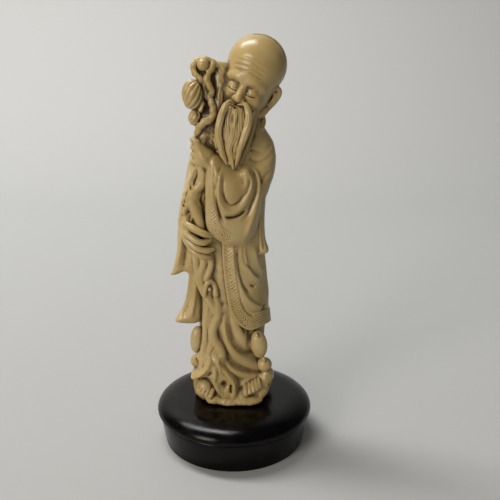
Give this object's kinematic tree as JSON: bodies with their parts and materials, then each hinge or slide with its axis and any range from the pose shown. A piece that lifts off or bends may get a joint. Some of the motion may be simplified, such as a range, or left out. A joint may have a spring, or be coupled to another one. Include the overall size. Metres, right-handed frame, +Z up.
{
  "type": "shou lao figure",
  "caption": "Cast mock-ivory old sage with a domed head and a gnarled staff, standing on a turned round black stand.",
  "frame": {"origin": "centre of the stand's flat underside", "axes": "+Z up to the crown of the head, -Y the way the sage faces, +X towards the figure's left hand side"},
  "size_m": [0.063, 0.063, 0.1602],
  "materials": {
    "figure": "satin cast resin in old-ivory colour, brown patina in the hollows",
    "stand": "turned, black lacquer, half gloss"
  },
  "bodies": {
    "root": {"stand": "stand", "figure": "figure"}
  },
  "joints": []
}
